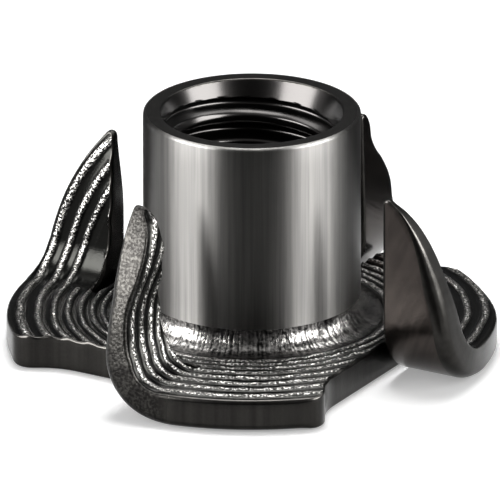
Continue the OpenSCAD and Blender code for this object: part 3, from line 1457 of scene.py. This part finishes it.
@dataclass(frozen=True)
class Softbox:
    """A soft lamp, by its direction from the nut, its size and how bright its face is."""

    name: str
    azimuth: float
    elevation: float
    distance: float
    width: float
    height: float
    radiance: float
    plain: bool = False

    def build(self, target: Vector) -> None:
        """Hangs the lamp so that it faces the target; only a plain one also lights dull surfaces."""
        a, e = math.radians(self.azimuth), math.radians(self.elevation)
        toward = Vector((math.sin(a) * math.cos(e), -math.cos(a) * math.cos(e), math.sin(e)))
        lamp = bpy.data.lights.new(self.name, "AREA")
        lamp.shape = "RECTANGLE"
        lamp.size = self.width * MM
        lamp.size_y = self.height * MM
        lamp.energy = self.radiance * math.pi * lamp.size * lamp.size_y
        made = add_object(self.name, lamp)
        made.visible_camera = False
        made.visible_diffuse = self.plain
        made.location = target + toward * self.distance * MM
        made.rotation_euler = (-toward).to_track_quat("-Z", "Y").to_euler()


@dataclass(frozen=True)
class Flag:
    """A dark card round part of the set, which only the metal sees: it gives the nut its dark sides."""

    name: str
    start: float
    end: float
    high: float
    low: float = -0.01
    radius: float = 19.0
    steps: int = 24

    def build(self, material: Material) -> None:
        """Stands the card up, as an arc from one azimuth to the other."""
        points = []
        for z in (self.low, self.high):
            for i in range(self.steps + 1):
                a = math.radians(self.start + (self.end - self.start) * i / self.steps)
                points.append((self.radius * math.sin(a) * MM, -self.radius * math.cos(a) * MM, z * MM))
        row = self.steps + 1
        faces = [(i, i + 1, row + i + 1, row + i) for i in range(self.steps)]
        card = add_plane(self.name, points, faces, material)
        card.visible_camera = False
        card.visible_diffuse = False
        card.visible_shadow = False


def add_plane(name: str, points: list, faces: list, material: Material) -> bpy.types.Object:
    """Adds a thin piece of the set.

    Args:
        name: Its name.
        points: Its points, in metres.
        faces: Its faces, by the points' numbers.
        material: What it is made of.

    Returns:
        Its object, which is marked as part of the set.
    """
    mesh = bpy.data.meshes.new(name)
    mesh.from_pydata(points, [], faces)
    mesh.materials.append(material)
    made = add_object(name, mesh)
    made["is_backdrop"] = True
    return made


def seen_outright(tree: Tree) -> Socket:
    """1 where the camera, or the metal's own mirror, looks at a surface, and 0 where it only lights."""
    path = add_node(tree, "ShaderNodeLightPath").outputs
    return maths(tree, path["Is Camera Ray"], ("MAXIMUM", path["Is Glossy Ray"]),
                 ("MAXIMUM", path["Is Transmission Ray"]))


@dataclass(frozen=True)
class Studio:
    """The floor, flags, lamps, surround and camera."""

    sheet: Sheet
    floor_colour: str = "#f4f4f4"
    floor_half: float = 600.0
    floor_level: float = -0.015
    floor_glow: float = 0.3
    dull: float = 0.9
    light: float = 0.25
    sine_of_elevation: float = 0.36
    view_width: float = 22.4
    view_distance: float = 1000.0
    aim_x: float = -0.09
    aim_up: float = 4.144
    sensor: float = 36.0
    clip: Span = (0.1, 10.0)

    def floor(self) -> None:
        """Lays a plain pale floor under the nut."""
        material, tree = new_material("white_paper")
        glow = maths(tree, seen_outright(tree), ("MULTIPLY", self.floor_glow))
        add_shader(tree, {"Base Color": linear_colour(self.floor_colour), "Roughness": self.dull,
                          "Emission Color": (1.0, 1.0, 1.0, 1.0), "Emission Strength": glow})
        half, level = self.floor_half * MM, self.floor_level * MM
        points = [(x * half, y * half, level) for x, y in ((-1, -1), (1, -1), (1, 1), (-1, 1))]
        add_plane("floor", points, [(0, 1, 2, 3)], material)

    def flags(self) -> None:
        """Stands dark cards in front and behind."""
        material, tree = new_material("black_card")
        add_shader(tree, {"Base Color": linear_colour("#161616"), "Roughness": self.dull})
        Flag("flag_front", -33, 33, 36).build(material)
        Flag("flag_back", 102, 243, 26).build(material)

    def lamps(self) -> None:
        """Hangs softboxes at the sides and behind, which only the metal sees, and a plain one overhead."""
        target = Vector((0, 0, self.sheet.height / 2 * MM))
        Softbox("softbox_left", -67, 26, 80, 64, 50, 40.0).build(target)
        Softbox("softbox_right", 69, 26, 80, 60, 50, 40.0).build(target)
        Softbox("softbox_top", 180, 78, 110, 44, 34, 20.0, plain=True).build(target)
        Softbox("softbox_back", 180, 66, 110, 150, 46, 11.0).build(target)

    def world(self) -> None:
        """Gives a white surround to what is seen, and a weak grey one to what is lit."""
        world = bpy.data.worlds.new("studio")
        bpy.context.scene.world = world
        world.use_nodes = True
        tree = world.node_tree
        tree.nodes.clear()
        strength = ranged(tree, seen_outright(tree), target=(self.light, 1.0))
        sky = add_node(tree, "ShaderNodeBackground", None,
                       {"Color": (1.0, 1.0, 1.0, 1.0), "Strength": strength})
        add_node(tree, "ShaderNodeOutputWorld", None, {"Surface": sky.outputs[0]})

    def camera(self) -> None:
        """Sets the camera up, with a lens so long that the picture has almost no perspective."""
        elevation = math.asin(self.sine_of_elevation)
        up = Vector((0, math.sin(elevation), math.cos(elevation)))
        view = Vector((0, math.cos(elevation), -math.sin(elevation)))
        data = bpy.data.cameras.new("camera")
        data.sensor_width = self.sensor
        data.lens = self.sensor * self.view_distance / self.view_width
        data.clip_start, data.clip_end = self.clip
        made = add_object("camera", data)
        target = Vector((self.aim_x, 0, 0)) + up * self.aim_up
        made.location = (target - view * self.view_distance) * MM
        made.rotation_euler = view.to_track_quat("-Z", "Y").to_euler()
        bpy.context.scene.camera = made

    def build(self) -> None:
        """Builds the set."""
        for part in (self.floor, self.flags, self.lamps, self.world, self.camera):
            part()
        bpy.context.scene.view_settings.view_transform = "Standard"
        log.info("studio: floor, two flags, four softboxes and the camera")


def corners() -> list[list[float]]:
    """The shown object's lowest and highest corner as plain lists."""
    return [[float(v) for v in corner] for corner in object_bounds()]


def main() -> None:
    """Builds the nut and its studio."""
    logging.basicConfig(level=logging.INFO, format="%(name)s: %(message)s")
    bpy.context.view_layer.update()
    low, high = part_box(NODE)
    sheet = Sheet(rim_r=(high.x - low.x) / 2 / MM, height=high.z / MM)
    prongs = (
        Prong("right_front", -30, rise=1.053, rim_grain=0.1,
              rim_in=((0.0, 0.08), (0.5, -0.06), (1.3, -0.1), (2.0, -0.07), (2.8, 0.0), (4.0, 0.04))),
        Prong("left_front", 240, kerf=0.4, rise=1.045, rim_grain=0.8,
              blade=((0.0, 0.5), (0.6, 0.95), (1.6, 1.28), (2.5, 1.28), (4.2, 1.05), (5.4, 1.2),
                     (6.6, 1.5))),
        Prong("left_back", 150, kerf=0.34, rise=1.04, shelf_u=8.6, rings_from=8.3, rim_grain=0.5,
              rim_under=0.3, rim_in=((0.0, 0.22), (5.0, 0.22)),
              cut_in=((0.0, 0.33), (1.0, 0.25), (2.0, 0.13), (3.0, 0.03), (4.0, 0.0))),
        Prong("right_back", 60, lean=1.5, rise=1.025, shelf_u=9.4, rim_grain=0.1,
              rim_in=((0.0, 0.1), (0.45, 0.2), (0.9, 0.45), (1.35, 0.5), (1.85, 0.43), (2.4, 0.25),
                      (2.95, 0.11), (3.4, 0.0), (3.9, -0.04), (4.65, 0.08))),
    )
    blank = Blank(sheet, prongs)
    barrel = Barrel(sheet)
    nut = TeeNut(blank, barrel, TappedBore(barrel, blank.columns), TurnedRings())
    nut.build()
    Studio(sheet).build()


if __name__ == "__main__":
    main()
